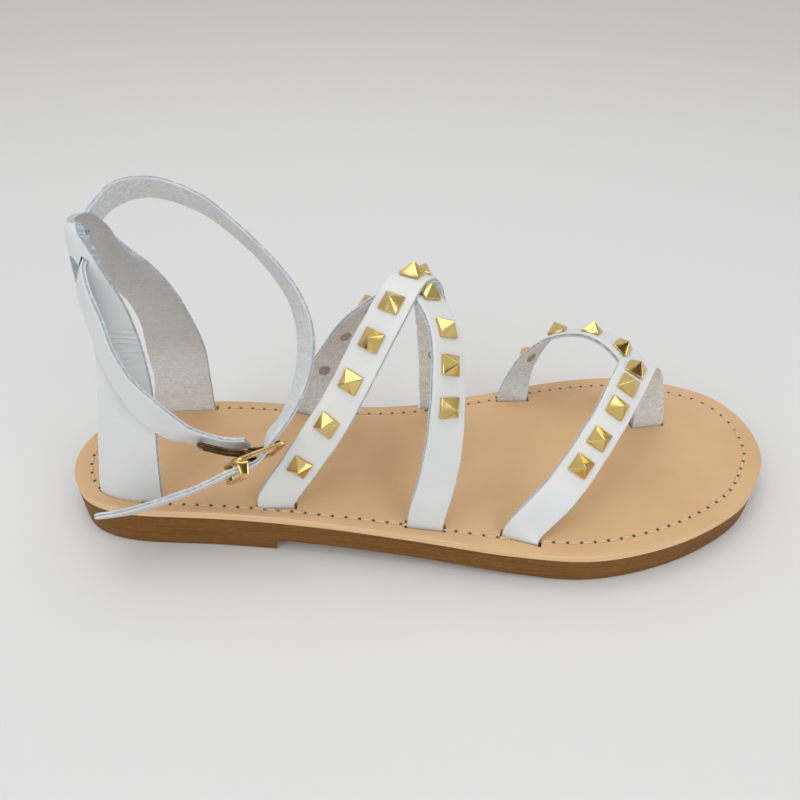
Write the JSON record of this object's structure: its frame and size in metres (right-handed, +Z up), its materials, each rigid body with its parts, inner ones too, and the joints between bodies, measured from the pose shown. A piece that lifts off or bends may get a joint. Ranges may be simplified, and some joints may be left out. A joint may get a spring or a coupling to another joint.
{
  "type": "studded toe post sandal",
  "caption": "Flat leather toe post sandal for the right foot with studded crossing straps, a heel counter and a buckled ankle strap.",
  "frame": {"origin": "on the floor under the heel seat, on the flat tread of the heel", "axes": "+X from heel to toe, +Y to the inner side of the foot, +Z up"},
  "size_m": [0.2545, 0.0941, 0.1085],
  "materials": {
    "outsole_rubber": "brown edge with fine level lines, matt",
    "insole_leather": "smooth tan leather, satin",
    "white_leather": "smooth white grain outside, grey suede inside",
    "gold_metal": "bright gold plate"
  },
  "bodies": {
    "root": {"outsole": "outsole_rubber", "insole": "insole_leather", "heel_counter": "white_leather", "instep_straps": "white_leather", "toe_straps": "white_leather", "ankle_strap": "white_leather", "buckle_frame": "gold_metal", "buckle_prong": "gold_metal", "stud_rear_01": "gold_metal", "stud_rear_02": "gold_metal", "stud_rear_03": "gold_metal", "stud_rear_04": "gold_metal", "stud_rear_05": "gold_metal", "stud_rear_06": "gold_metal", "stud_rear_07": "gold_metal", "stud_rear_08": "gold_metal", "stud_rear_09": "gold_metal", "stud_rear_10": "gold_metal", "stud_front_01": "gold_metal", "stud_front_02": "gold_metal", "stud_front_03": "gold_metal", "stud_front_04": "gold_metal", "stud_front_05": "gold_metal", "stud_front_06": "gold_metal", "stud_front_07": "gold_metal", "stud_toe_outer_01": "gold_metal", "stud_toe_outer_02": "gold_metal", "stud_toe_outer_03": "gold_metal", "stud_toe_outer_04": "gold_metal", "stud_toe_outer_05": "gold_metal", "stud_toe_inner_01": "gold_metal", "stud_toe_inner_02": "gold_metal", "stud_toe_inner_03": "gold_metal", "stud_toe_inner_04": "gold_metal"}
  },
  "joints": []
}
